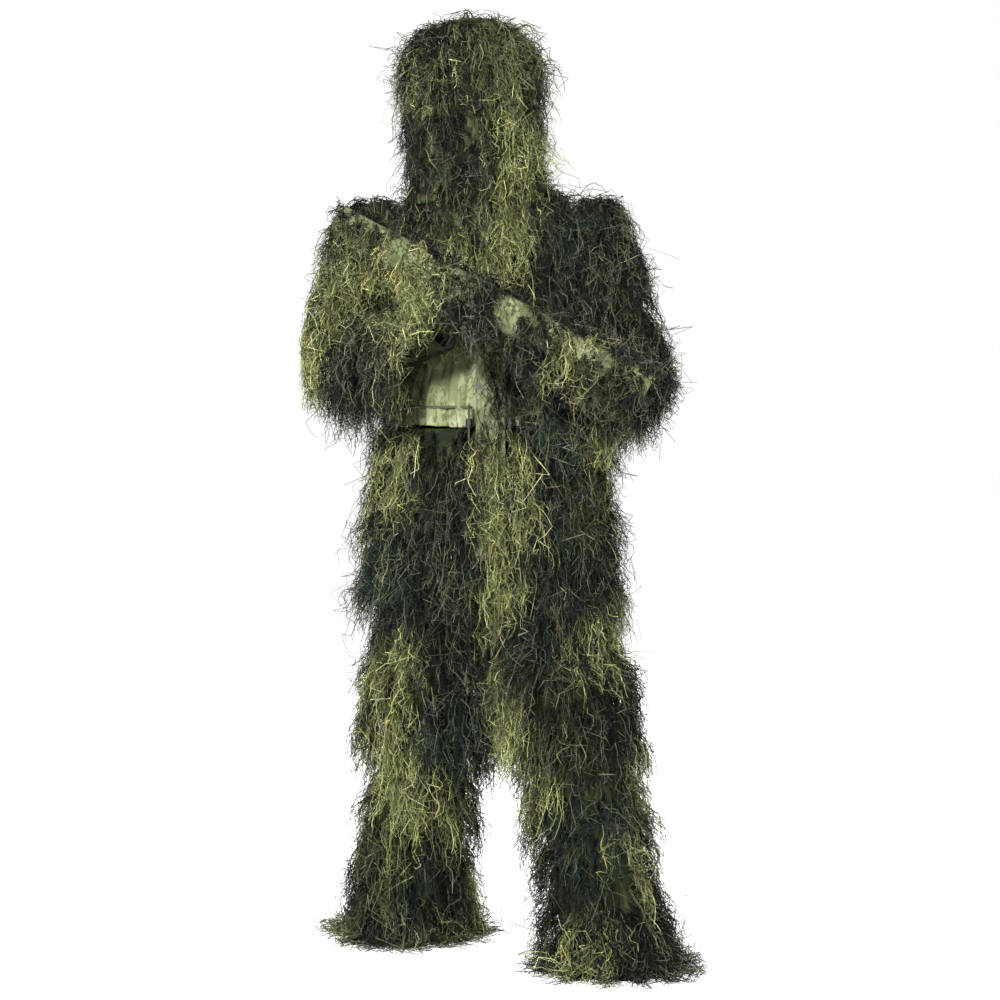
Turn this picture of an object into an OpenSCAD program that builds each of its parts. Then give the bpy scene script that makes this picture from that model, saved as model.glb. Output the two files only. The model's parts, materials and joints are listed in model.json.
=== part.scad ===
// Ghillie suit as it stands on a wearer: a zipped jacket with a hood and a face veil, trousers,
// and a yarn-covered fabric sleeve for a long tool. The wearer faces -Y, +X is the wearer's left
// and the trouser hems rest on z = 0. Yarn fringe is modelled as tiered shells of its thickness.

/* [Heights] */
// Bottom of the jacket's skirt
hem_z = 712; // [700:1:725]
// Waist seam, where the skirt joins the upper jacket
waist_z = 1020; // [1000:1:1040]
// Lower edge of the yoke
yoke_z = 1410; // [1400:1:1420]
// Neck seam
neck_z = 1470; // [1465:1:1475]
// Top of the hood fabric
crown_z = 1784; // [1760:1:1800]
// Hip hinge
hip_z = 880; // [870:1:890]
// Knee hinge
knee_z = 485; // [470:1:500]

/* [Girths] */
// Half width of the jacket at the chest
chest_w = 144; // [140:1:146]
// Half width of the jacket at the waist seam
waist_w = 190; // [185:1:195]
// Half width of the jacket at the hem
hem_w = 228; // [226:1:234]
// Half depth of the jacket at the chest
chest_d = 118; // [112:1:122]
// Half depth of the jacket at the hem
hem_d = 155; // [150:1:160]
// Inner radius of a trouser leg at the knee
leg_r = 86; // [80:1:88]
// Inner radius of a sleeve
sleeve_r = 50; // [46:1:52]

/* [Cloth] */
// Thickness of a fabric panel with its seams
fabric = 2.5; // [1.5:0.5:3]
// Depth of the yarn fringe on the jacket
fringe = 34; // [28:1:36]
// Clearance between neighbouring pieces
gap = 1.5; // [1:0.5:2]

/* [Stance] */
// How far the left foot stands forward
left_step = 200; // [150:10:220]
// How far the right foot stands back
right_step = 100; // [60:10:120]
// Sideways place of the left foot
left_foot_x = 240; // [225:5:245]
// Sideways place of the right foot
right_foot_x = -163; // [-175:1:-160]
// How far the left knee is forward of the hips
left_knee = 60; // [50:5:70]
// How far the right knee is behind the hips
right_knee = 20; // [10:5:30]

/* [Tool sleeve] */
// Bore radius of the tool sleeve
wrap_r = 30; // [24:1:32]
// Width of one elastic band
band_w = 20; // [15:1:30]

/* [Hidden] */

olive = "#5d6b33";
pale_olive = "#8c9560";
dark_yarn = "#2c3325";
green_yarn = "#6b7a2a";
black = "#1b1d1a";
grey = "#55585a";

ring_steps = 24;
limb_steps = 18;

// Middle of the suit's footprint, measured from the middle of the wearer's back line
footprint_middle = [23.34, -117.68, 0];

// Jacket profile: half width and half depth at each height
torso_w = [
    [hem_z, hem_w], [800, 218], [900, 206], [waist_z, waist_w], [1100, 174], [1180, 156],
    [1300, chest_w], [yoke_z, chest_w], [1445, 128], [neck_z, 94], [1500, 90]
];
torso_d = [
    [hem_z, hem_d], [800, 146], [900, 136], [waist_z, 126], [1100, 124], [1180, 121],
    [1300, chest_d], [yoke_z, 112], [1445, 105], [neck_z, 92], [1500, 88]
];
front_top_y = -118;
front_slope = 0.06;
front_tilt = -atan(front_slope);

// Half angle left open at the front for the zip
slit_half = 1.8;
// Half angle of the front that the fringe leaves free for the flap, and that the lowest rows leave
parting_half = 13;
hip_parting = 9;
// Room between the jacket's inner face and the roots of its fringe
root_gap = fabric + gap + 6;

// Shoulder, elbow and wrist centres; the elbow is where the two straight runs would meet
shoulder_right = [-223, 0, 1400];
elbow_right = [-320, -62, 1117];
wrist_right = [-85, -238, 1205];
shoulder_left = [206, 0, 1400];
elbow_left = [268, -80, 1130];
wrist_left = [158, -305, 1088];
elbow_bend_r = 78;

// Tool sleeve: centres of its two ends
wrap_butt = [-275, -255, 1395];
wrap_tip = [285, -462, 1080];

// Hood centre and the hinges of the hood and of the veil
hood_x = -33;
hood_y = -18;
veil_top_z = 1733;
veil_low_z = 1322;

// Cords
cord_r = 2;
waist_cord_z = waist_z + 38;
waist_tail_x = 38.5;
waist_tail_y = -161;
hood_tail_x = [-44, 20];
hood_tail_y = -133;

// Zip, measured up the front line from the hem
zip_low = 50;
zip_len = 650;
slider_up = 560;
flap_low = 55;
flap_len = 460;
flap_hinge_x = 30;
pin_r = 1.1;

// ---------- Shared shape helpers ----------

function front_y(z) = front_top_y - (neck_z - z) * front_slope;

// A row is [z, centre x, centre y, inner half width, inner half depth, thickness]
function torso_row(z, grow, thick) =
    let (rx = lookup(z, torso_w), ry = lookup(z, torso_d))
    [z, 0, front_y(z) + ry, rx + grow, ry + grow, thick];

// Outer or inner point of a row at an angle; 270 degrees is the front
function row_point(row, a, out) =
    [row[1] + (row[3] + (out ? row[5] : 0)) * cos(a),
     row[2] + (row[4] + (out ? row[5] : 0)) * sin(a),
     row[0]];

function two_triangles(q) = [[q[0], q[1], q[2]], [q[0], q[2], q[3]]];

// Closed skin between an outer and an inner grid of points, m rows of k points each
module skin(outer, inner, m, k, wrapped, lid) {
    n = m * k;
    last = wrapped ? k - 1 : k - 2;
    function at(i, j, layer) = layer * n + i * k + j % k;
    walls = [for (i = [0:m - 2]) for (j = [0:last]) each concat(
        two_triangles([at(i, j, 0), at(i + 1, j, 0), at(i + 1, j + 1, 0), at(i, j + 1, 0)]),
        two_triangles([at(i, j, 1), at(i, j + 1, 1), at(i + 1, j + 1, 1), at(i + 1, j, 1)]))];
    foot = [for (j = [0:last]) each
        two_triangles([at(0, j, 0), at(0, j + 1, 0), at(0, j + 1, 1), at(0, j, 1)])];
    rim = lid ? [] : [for (j = [0:last]) each
        two_triangles([at(m - 1, j + 1, 0), at(m - 1, j, 0), at(m - 1, j, 1), at(m - 1, j + 1, 1)])];
    cap = lid ? [for (j = [0:last]) each [
        [at(m - 1, j + 1, 0), at(m - 1, j, 0), 2 * n],
        [at(m - 1, j, 1), at(m - 1, j + 1, 1), 2 * n + 1]]] : [];
    sides = wrapped ? [] : [for (i = [0:m - 2]) each concat(
        two_triangles([at(i + 1, 0, 0), at(i, 0, 0), at(i, 0, 1), at(i + 1, 0, 1)]),
        two_triangles([at(i, k - 1, 0), at(i + 1, k - 1, 0), at(i + 1, k - 1, 1), at(i, k - 1, 1)]))];
    peak = lid ? [mean_of(outer, n - k, k), mean_of(inner, n - k, k)] : [];
    polyhedron(concat(outer, inner, peak), concat(walls, foot, rim, cap, sides), convexity = 8);
}

function mean_of(points, first, count) =
    [for (axis = [0:2]) sum_of([for (i = [first:first + count - 1]) points[i][axis]]) / count];

function sum_of(list) = list * [for (value = list) 1];

// Cloth sheet through rows from low to high, between two angles. A lid closes its top, and the
// inner layer then sinks under it by the thickness
module sheet(rows, a0 = 0, a1 = 360, steps = ring_steps, lid = false) {
    wrapped = a1 - a0 >= 360;
    m = len(rows);
    k = wrapped ? steps : steps + 1;
    angles = [for (j = [0:k - 1]) a0 + (a1 - a0) * j / steps];
    outer = [for (row = rows) for (a = angles) row_point(row, a, true)];
    inner = [for (i = [0:m - 1]) for (a = angles)
        row_point(rows[i], a, false) - [0, 0, lid ? rows[i][5] * max(0, 1 - (m - 1 - i) / 2) : 0]];
    skin(outer, inner, m, k, wrapped, lid);
}

// Heights of rows through a stack of fringe tiers, with the share of full depth at each:
// every tier is full at its foot and thin under the tier above
function tier_steps(low, high, tiers, thin = 0.35) =
    [for (i = [0:tiers - 1]) each
        let (h = (high - low) / tiers, z = low + i * h) [[z, 1], [z + h - 2, thin]]];

// ---------- Hoses: sleeves and other bent tubes ----------

function unit(v) = v / norm(v);

// Station is [centre, direction, inner radius, thickness, outward shift of the outer ring]
function hose_ring(station, across, out, steps) =
    let (up = unit(cross(station[1], across)),
         r = station[2] + (out ? station[3] : 0),
         c = station[0] + (out ? station[4] : [0, 0, 0]))
    [for (j = [0:steps - 1]) let (a = 360 * j / steps) c + r * cos(a) * across + r * sin(a) * up];

module hose(stations, across, steps = limb_steps, lid = false) {
    outer = [for (s = stations) each hose_ring(s, across, true, steps)];
    inner = [for (s = stations) each hose_ring(s, across, false, steps)];
    skin(outer, inner, len(stations), steps, true, lid);
}

// Arm is [shoulder, elbow, wrist]; the run from shoulder to wrist bends in one plane
arm_right = [shoulder_right, elbow_right, wrist_right];
arm_left = [shoulder_left, elbow_left, wrist_left];
no_shift = [0, 0, 0];

function upper_dir(arm) = unit(arm[0] - arm[1]);
function fore_dir(arm) = unit(arm[2] - arm[1]);
function bend_axis(arm) = unit(cross(upper_dir(arm), fore_dir(arm)));
function elbow_half(arm) = acos(upper_dir(arm) * fore_dir(arm)) / 2;
// Distance from the elbow point to each end of the bend
function bend_reach(arm) = elbow_bend_r / tan(elbow_half(arm));
function upper_len(arm) = norm(arm[0] - arm[1]);
function fore_len(arm) = norm(arm[2] - arm[1]);

function upper_station(arm, d, r, t) = [arm[1] + upper_dir(arm) * d, upper_dir(arm), r, t, no_shift];
function fore_station(arm, d, r, t, drop) =
    [arm[1] + fore_dir(arm) * d, -fore_dir(arm), r, t, [0, 0, -drop]];

// Station on the elbow's arc at a share of the way from the forearm to the upper arm
function bend_station(arm, share, r, t) =
    let (half = elbow_half(arm),
         middle = unit(upper_dir(arm) + fore_dir(arm)),
         hub = arm[1] + middle * elbow_bend_r / sin(half),
         turn = (2 * share - 1) * (90 - half),
         side = unit(upper_dir(arm) - fore_dir(arm)),
         out = -middle * cos(turn) + side * sin(turn),
         along = middle * sin(turn) + side * cos(turn))
    [hub + out * elbow_bend_r, along, r, t, no_shift];

// Legs: side is -1 for the right leg and 1 for the left
function leg_x(side, z) = lookup(z, side < 0
    ? [[0, right_foot_x], [knee_z, -118], [hip_z, -100]]
    : [[0, left_foot_x], [knee_z, 150], [hip_z, 100]]);
function leg_y(side, z) = lookup(z, side < 0
    ? [[0, right_step], [knee_z, right_knee], [hip_z, 0]]
    : [[0, -left_step], [knee_z, -left_knee], [hip_z, 0]]);
leg_radii = [[0, leg_r + 12], [120, leg_r + 4], [300, leg_r - 2], [knee_z, leg_r], [600, 88], [750, 88]];

function leg_row(side, z, grow, thick) =
    let (r = lookup(z, leg_radii) + grow)
    [z, leg_x(side, z), leg_y(side, z), r, r, thick];

// Depth of the leg's fringe; it spreads where the yarn lies on the ground
leg_fringe = [[0, 58], [60, 44], [160, 34], [300, 30], [560, 27], [600, 18], [640, 12], [700, 6]];

// ---------- Trousers ----------

seat_rows = [[800, 168, 118], [880, 164, 116], [960, 156, 112], [1046, 150, 108]];

module seat_panel() {
    color(olive)
    sheet([for (r = seat_rows) [r[0], 0, -5, r[1], r[2], fabric]]);
}

module waistband() {
    color(black)
    sheet([[1048, 0, -5, 148, 106, 4], [1086, 0, -5, 147, 105, 4]]);
}

module thigh_panel(side) {
    color(olive)
    sheet([for (z = [knee_z + 62, 640, 750]) leg_row(side, z, 0, fabric)], steps = limb_steps);
}

module leg_tiers(side, low, high, tiers) {
    sheet([for (s = tier_steps(low, high, tiers))
        leg_row(side, s[0], fabric + gap, lookup(s[0], leg_fringe) * s[1])], steps = limb_steps);
}

module thigh_fringe(side) {
    color(dark_yarn) leg_tiers(side, knee_z + 62, 695, 2);
}

// Cloth and yarn over the knee, which crumples as the knee bends
module knee_gusset(side) {
    color(green_yarn)
    sheet([for (z = [knee_z - 60, knee_z, knee_z + 60]) leg_row(side, z, 0, 24)], steps = limb_steps);
}

module shin_panel(side) {
    color(olive)
    sheet([for (z = [0, 120, 300, knee_z - 62]) leg_row(side, z, 0, fabric)], steps = limb_steps);
}

module shin_fringe(side) {
    color(dark_yarn) leg_tiers(side, 0, knee_z - 62, 4);
}

module hem_elastic(side) {
    r = leg_r + 4;
    color(black)
    translate([leg_x(side, 30), leg_y(side, 30), 20])
    difference() {
        cylinder(h = band_w, r = r - 1, $fn = 72);
        translate([0, 0, -1]) cylinder(h = band_w + 2, r = r - 4, $fn = 72);
    }
}

// ---------- Jacket body ----------

module torso_sheet(heights, a0, a1, steps, grow = 0, thick = fabric) {
    sheet([for (z = heights) torso_row(z, grow, thick)], a0, a1, steps);
}

module back_panel() {
    color(olive) torso_sheet([waist_z + 1, 1100, 1180, 1300, yoke_z - 1], 1, 179, 14);
}

module front_panel(a0, a1) {
    color(olive) torso_sheet([1181, 1300, yoke_z - 1], a0, a1, 7);
}

module belly_panel(a0, a1) {
    color(pale_olive) torso_sheet([waist_z + 1, 1100, 1179], a0, a1, 7);
}

module shoulder_yoke() {
    color(olive)
    torso_sheet([yoke_z + 1, 1445, neck_z - 1], 270 + slit_half, 630 - slit_half, ring_steps);
}

module collar_band() {
    color(olive)
    torso_sheet([neck_z + 1, 1494], 270 + slit_half, 630 - slit_half, ring_steps, 0, 3);
}

module skirt_panel() {
    color(olive)
    torso_sheet([hem_z, 800, 900, waist_z - 1], 270 + slit_half, 630 - slit_half, ring_steps);
}

module hanger_loop() {
    loop_r = 9;
    color(black)
    translate([-6, front_y(1462) + 2 * lookup(1462, torso_d) - loop_r - fabric - 9, 1470])
    rotate([0, 90, 0])
    difference() {
        cylinder(h = 12, r = loop_r + 2, $fn = 48);
        translate([0, 0, -1]) cylinder(h = 14, r = loop_r, $fn = 48);
    }
}

// Cord that follows the jacket's outline at a height, open at the front by the half angle
module torso_cord(z, open_half) {
    torso_sheet([z - cord_r, z + cord_r], 270 + open_half, 630 - open_half, ring_steps,
        fabric + gap, 2 * cord_r);
}

// Waist cord and the two tails that hang from its front ends
module waist_drawcord() {
    color(black) {
        torso_cord(waist_cord_z, 11);
        for (side = [-1, 1])
            translate([side * waist_tail_x, waist_tail_y, waist_cord_z - 75])
                cylinder(h = 80, r = cord_r, $fn = 24);
    }
}

module hem_drawcord() {
    color(black) torso_cord(hem_z + 12, slit_half + 4);
}

// Barrel lock that slides on a cord tail; its bore clears the cord
module cord_lock(side) {
    color(black)
    translate([side * waist_tail_x, waist_tail_y, waist_cord_z - 40])
    difference() {
        union() {
            cylinder(h = 18, r = 6, $fn = 48);
            translate([0, 0, 9]) rotate([90, 0, 0]) cylinder(h = 9, r = 3.5, $fn = 32);
        }
        translate([0, 0, -1]) cylinder(h = 20, r = cord_r + 0.4, $fn = 32);
    }
}

// ---------- Zip and flap ----------

// Frame whose +Z runs up the front line from the hem and whose -Y points out of the jacket
module on_front_line() {
    translate([0, front_y(hem_z) - fabric, hem_z])
    rotate([front_tilt, 0, 0])
    children();
}

module zip_tapes() {
    color(black)
    on_front_line()
    for (side = [-1, 1])
        translate([side < 0 ? -17 : 3.2, -2.2, zip_low]) cube([13.8, 1.2, zip_len]);
}

module zip_teeth() {
    pitch = 8;
    color("#7a6a3a")
    on_front_line()
    for (i = [0:floor(zip_len / pitch) - 1])
        translate([-2.8, -3.8, zip_low + i * pitch]) cube([5.6, 3, 5]);
}

module zip_slider() {
    color("#7a6a3a")
    on_front_line()
    translate([0, 0, zip_low + slider_up])
    union() {
        translate([-6, -6, -8]) cube([12, 1.8, 16]);
        for (x = [-5.5, 4])
            translate([x, -8.8, -2]) cube([1.5, 3.5, 4]);
        translate([-5.5, -7.6, 0]) rotate([0, 90, 0]) cylinder(h = 11, r = pin_r, $fn = 32);
    }
}

module zip_pull() {
    color(black)
    on_front_line()
    translate([0, -7.6, zip_low + slider_up])
    difference() {
        union() {
            translate([-3.5, 0, 0]) rotate([0, 90, 0]) cylinder(h = 7, r = 1.5, $fn = 32);
            translate([-3.5, -1.4, -30]) cube([7, 1.6, 30]);
        }
        translate([-4, 0, 0]) rotate([0, 90, 0]) cylinder(h = 8, r = pin_r + 0.06, $fn = 32);
    }
}

module storm_flap() {
    color(olive)
    on_front_line()
    translate([-26, -14.5, flap_low]) cube([flap_hinge_x + 26, 2, flap_len]);
}

snap_heights = [for (i = [0:4]) flap_low + 30 + i * 100];

module flap_snaps() {
    color(grey)
    on_front_line()
    for (z = snap_heights)
        translate([-21, -14.6, z]) rotate([90, 0, 0]) cylinder(h = 2.5, r = 6.5, $fn = 48);
}

module snap_studs() {
    color(grey)
    on_front_line()
    for (z = snap_heights)
        translate([-21, -2.4, z]) rotate([90, 0, 0]) cylinder(h = 9.6, r = 3.5, $fn = 32);
}

// ---------- Jacket fringe ----------

module torso_tiers(low, high, tiers, a0, a1, steps, depth) {
    sheet([for (s = tier_steps(low, high, tiers)) torso_row(s[0], root_gap, depth * s[1])],
        a0, a1, steps);
}

module chest_fringe() {
    // Half of its turn about the torso, and its lower edge, just above the forearms
    side_half = 45;
    low_z = 1212;
    color(green_yarn)
    for (span = [[270 - side_half, 270 - parting_half], [270 + parting_half, 270 + side_half]])
        torso_tiers(low_z, yoke_z + 20, 2, span[0], span[1], 5, fringe - 10);
}

module back_fringe() {
    color(dark_yarn)
    torso_tiers(waist_z + 60, yoke_z + 20, 4, 38, 142, 10, fringe - 8);
}

module waist_fringe() {
    color(green_yarn)
    torso_tiers(waist_z - 110, waist_z + 26, 2, 270 + parting_half + 3, 630 - parting_half - 3,
        ring_steps, fringe);
}

// Lowest rows of the jacket; they hang past the hem and stand clear of the legs
module hip_fringe() {
    // Height of a row and its share of the fringe's full depth
    rows = [
        [hem_z - 100, 0.7], [hem_z - 52, 0.8], [hem_z - 2, 0.5], [hem_z, 1],
        [hem_z + 93, 0.4], [hem_z + 95, 1], [waist_z - 113, 0.4]
    ];
    spread = 0.3;
    color(dark_yarn)
    sheet([for (row = rows)
        let (below = max(hem_z - row[0], 0))
        torso_row(row[0] + below, root_gap + spread * below, fringe * row[1]) - [below, 0, 0, 0, 0, 0]],
        270 + hip_parting, 630 - hip_parting, ring_steps);
}

// ---------- Sleeves ----------

// Shoulder cap, round about the shoulder hinge
function cap_stations(arm, r, t) =
    [for (a = [0, 30, 55, 75])
        [arm[0] + upper_dir(arm) * r * sin(a), upper_dir(arm), r * cos(a), t * cos(a),
            upper_dir(arm) * t * sin(a)]];

module upper_sleeve(arm) {
    color(olive)
    hose(concat([upper_station(arm, bend_reach(arm) + 2, sleeve_r, fabric)],
        cap_stations(arm, sleeve_r + 6, fabric)), bend_axis(arm), lid = true);
}

module upper_fringe(arm) {
    low = bend_reach(arm) + 2;
    high = upper_len(arm) - 28;
    color(dark_yarn)
    hose([for (s = tier_steps(low, high, 2, 0.5))
        let (share = (s[0] - low) / (high - low))
        upper_station(arm, s[0], sleeve_r + 6 + fabric + gap, (16 - 6 * share) * s[1])],
        bend_axis(arm));
}

module elbow_gusset(arm) {
    color(green_yarn)
    hose([for (share = [0:0.25:1]) bend_station(arm, share, sleeve_r, 14)], bend_axis(arm));
}

module forearm_sleeve(arm) {
    color(olive)
    hose([for (d = [fore_len(arm), (bend_reach(arm) + fore_len(arm)) / 2, bend_reach(arm) + 2])
        fore_station(arm, d, lookup(d, [[bend_reach(arm), sleeve_r], [fore_len(arm), 43]]), fabric, 0)],
        bend_axis(arm));
}

// Yarn hangs down from the forearm, so the outer rings sit lower than the sleeve
module forearm_fringe(arm) {
    near = bend_reach(arm) + 9;
    far = fore_len(arm) - 14;
    color(dark_yarn)
    hose([for (s = [[far, 0.4], [(near + far) / 2 + 2, 1], [(near + far) / 2, 0.4], [near, 1]])
        fore_station(arm, s[0], sleeve_r + fabric + gap, 6 + 22 * s[1], 20 * s[1])],
        bend_axis(arm));
}

// Elastic inside the sleeve's end; its bore is the opening for the hand
module cuff_elastic(arm) {
    way = fore_dir(arm);
    color(black)
    translate(arm[2] - way * (band_w + 3))
    rotate([0, acos(way[2]), atan2(way[1], way[0])])
    difference() {
        cylinder(h = band_w, r = 41, $fn = 64);
        translate([0, 0, -1]) cylinder(h = band_w + 2, r = 38, $fn = 64);
    }
}

// ---------- Hood and veil ----------

// Hood profile: half width, half depth and sideways lean at each height
hood_w = [[1500, 92], [1560, 100], [1640, 104], [1737, 104], [crown_z - 20, 90], [crown_z - 4, 58]];
hood_d = [[1500, 90], [1560, 108], [1640, 118], [1737, 118], [crown_z - 20, 103], [crown_z - 4, 68]];
hood_lean = [[1500, 0.45], [1640, 1]];
brim_z = 1734;
face_half = 48;

function hood_row(z, grow, thick, lift = 0) =
    [z + lift, hood_x * lookup(z, hood_lean), hood_y,
        lookup(z, hood_w) + grow, lookup(z, hood_d) + grow, thick];

module hood_shell() {
    color(olive)
    union() {
        sheet([for (z = [1500, 1560, 1640, brim_z]) hood_row(z, 0, fabric)],
            270 + face_half, 630 - face_half, 18);
        sheet([for (z = [brim_z - 1, 1737, crown_z - 20, crown_z - 4]) hood_row(z, 0, fabric)],
            lid = true);
    }
}

// Bound edge down each side of the face opening
module hood_binding() {
    color(black)
    for (a = [270 + face_half - 5.5, 270 - face_half + 1])
        sheet([for (z = [1500, 1560, 1640, brim_z - 3]) hood_row(z, -0.8, fabric + 1.6)], a, a + 4.5, 2);
}

// Drawcord tails that come out of the binding's lower ends
module hood_drawcord() {
    color(black)
    for (i = [0, 1]) {
        start = [hood_tail_x[i] + (i == 0 ? -20 : 20), hood_tail_y + 34, 1501];
        bend = [hood_tail_x[i], hood_tail_y, 1500];
        cord_run(start, bend);
        cord_run(bend, bend - [0, 0, 64]);
    }
}

// Straight length of cord with a round end at its far end
module cord_run(from, to) {
    way = unit(to - from);
    translate(from) rotate([0, acos(way[2]), atan2(way[1], way[0])])
        cylinder(h = norm(to - from), r = cord_r, $fn = 24);
    translate(to) sphere(r = cord_r, $fn = 24);
}

// Lock over both drawcord tails
module hood_lock() {
    color(black)
    difference() {
        translate([hood_tail_x[0] - 8, hood_tail_y - 7, 1454])
            cube([hood_tail_x[1] - hood_tail_x[0] + 16, 14, 16]);
        for (x = hood_tail_x)
            translate([x, hood_tail_y, 1453]) cylinder(h = 18, r = cord_r + 0.4, $fn = 24);
    }
}

// Three tiers round the head and a cap of yarn over the crown
module hood_fringe() {
    grow = fabric + gap + 2;
    cap_heights = [brim_z + 3, crown_z - 20, crown_z - 4];
    cap_depths = [22, 26, 30];
    cap_lift = [0, 14, 36];
    color(dark_yarn) {
        sheet([for (s = tier_steps(1528, brim_z, 3)) hood_row(s[0], grow, 26 * s[1])],
            270 + face_half + 6, 630 - face_half - 6, 18);
        sheet([for (i = [0:2]) hood_row(cap_heights[i], grow, cap_depths[i], cap_lift[i])], lid = true);
    }
}

// The veil hangs clear of the face from the front of the crown. Its wings reach back to the hood's
// face opening, and stop above the shoulders
veil_wing_z = 1442;
veil_wing_half = 50;
veil_low_half = 28;
veil_front = 270;
veil_half_w = 150;
veil_half_d = 141;
veil_flare = 0.05;
veil_net = 1.5;
// Room between the net and the roots of its yarn, and the yarn's depth on the wings and below them
veil_root_gap = 3;
veil_yarn = 12;
veil_low_yarn = 9;

function veil_row(z, grow, thick) =
    let (lean = (veil_top_z - z) * veil_flare)
    [z, hood_x, hood_y, veil_half_w + grow, veil_half_d + lean + grow, thick];

module veil_sheet(rows, half) {
    sheet(rows, veil_front - half, veil_front + half, 10);
}

module veil_mesh() {
    color(pale_olive)
    union() {
        veil_sheet([for (z = [veil_wing_z - 1, (veil_wing_z + veil_top_z) / 2, veil_top_z])
            veil_row(z, 0, veil_net)], veil_wing_half);
        veil_sheet([for (z = [veil_low_z, veil_wing_z]) veil_row(z, 0, veil_net)], veil_low_half);
    }
}

module veil_fringe() {
    color(green_yarn) {
        veil_sheet([for (s = tier_steps(veil_wing_z + 2, veil_top_z - 12, 3, 0.5))
            veil_row(s[0], veil_root_gap, veil_yarn * s[1])], veil_wing_half);
        veil_sheet([for (s = tier_steps(veil_low_z, veil_wing_z - 2, 1, 0.5))
            veil_row(s[0], veil_root_gap, veil_low_yarn * s[1])], veil_low_half);
    }
}

// ---------- Tool sleeve ----------

wrap_len = norm(wrap_tip - wrap_butt);
wrap_dir = unit(wrap_tip - wrap_butt);
wrap_across = unit(cross(wrap_dir, [0, 0, 1]));

module along_wrap() {
    translate(wrap_butt)
    rotate([0, acos(wrap_dir[2]), atan2(wrap_dir[1], wrap_dir[0])])
    children();
}

module wrap_sleeve() {
    color(pale_olive)
    along_wrap()
    difference() {
        cylinder(h = wrap_len, r = wrap_r + fabric, $fn = 64);
        translate([0, 0, -1]) cylinder(h = wrap_len + 2, r = wrap_r, $fn = 64);
    }
}

module wrap_bands() {
    color(black)
    along_wrap()
    for (share = [0.16, 0.5, 0.84])
        translate([0, 0, wrap_len * share - band_w / 2])
        difference() {
            cylinder(h = band_w, r = wrap_r + fabric + 2, $fn = 64);
            translate([0, 0, -1]) cylinder(h = band_w + 2, r = wrap_r + fabric + 0.1, $fn = 64);
        }
}

module wrap_fringe() {
    color(dark_yarn)
    hose([for (s = tier_steps(wrap_len * 0.1, wrap_len * 0.97, 5, 0.4))
        [wrap_butt + wrap_dir * s[0], wrap_dir, wrap_r + fabric + 3.5, 4 * s[1], [0, 0, -2 * s[1]]]],
        wrap_across);
}

// ---------- Nodes ----------

// Puts the origin on the ground in the middle of the footprint
module standing() {
    translate(-footprint_middle) children();
}

standing() seat_panel();
standing() waistband();
standing() thigh_panel(-1);  // thigh_panel_right
standing() thigh_fringe(-1);  // thigh_fringe_right
standing() knee_gusset(-1);  // knee_gusset_right
standing() shin_panel(-1);  // shin_panel_right
standing() shin_fringe(-1);  // shin_fringe_right
standing() hem_elastic(-1);  // hem_elastic_right
standing() thigh_panel(1);  // thigh_panel_left
standing() thigh_fringe(1);  // thigh_fringe_left
standing() knee_gusset(1);  // knee_gusset_left
standing() shin_panel(1);  // shin_panel_left
standing() shin_fringe(1);  // shin_fringe_left
standing() hem_elastic(1);  // hem_elastic_left
standing() back_panel();
standing() front_panel(181, 270 - slit_half);  // front_panel_right
standing() front_panel(270 + slit_half, 359);  // front_panel_left
standing() belly_panel(181, 270 - slit_half);  // belly_panel_right
standing() belly_panel(270 + slit_half, 359);  // belly_panel_left
standing() shoulder_yoke();
standing() collar_band();
standing() hanger_loop();
standing() skirt_panel();
standing() zip_tapes();
standing() zip_teeth();
standing() zip_slider();
standing() zip_pull();
standing() storm_flap();
standing() flap_snaps();
standing() snap_studs();
standing() waist_drawcord();
standing() cord_lock(-1);  // waist_lock_right
standing() cord_lock(1);  // waist_lock_left
standing() hem_drawcord();
standing() chest_fringe();
standing() back_fringe();
standing() waist_fringe();
standing() hip_fringe();
standing() upper_sleeve(arm_right);  // upper_sleeve_right
standing() upper_fringe(arm_right);  // upper_fringe_right
standing() elbow_gusset(arm_right);  // elbow_gusset_right
standing() forearm_sleeve(arm_right);  // forearm_sleeve_right
standing() forearm_fringe(arm_right);  // forearm_fringe_right
standing() cuff_elastic(arm_right);  // cuff_elastic_right
standing() upper_sleeve(arm_left);  // upper_sleeve_left
standing() upper_fringe(arm_left);  // upper_fringe_left
standing() elbow_gusset(arm_left);  // elbow_gusset_left
standing() forearm_sleeve(arm_left);  // forearm_sleeve_left
standing() forearm_fringe(arm_left);  // forearm_fringe_left
standing() cuff_elastic(arm_left);  // cuff_elastic_left
standing() hood_shell();
standing() hood_binding();
standing() hood_drawcord();
standing() hood_lock();
standing() hood_fringe();
standing() veil_mesh();
standing() veil_fringe();
standing() wrap_sleeve();
standing() wrap_bands();
standing() wrap_fringe();
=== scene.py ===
"""Ghillie suit: woven shells, a face veil and loose yarn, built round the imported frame.

The cloth pieces are grown from the inner skins of the frame's cloth nodes. The yarn is rooted on
the outer skins, hangs under gravity, keeps off the cloth, and spreads where it meets the ground.
"""

import json
import math

import bmesh
import bpy
import numpy as np
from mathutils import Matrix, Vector
from mathutils.bvhtree import BVHTree
from mathutils.kdtree import KDTree


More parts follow.
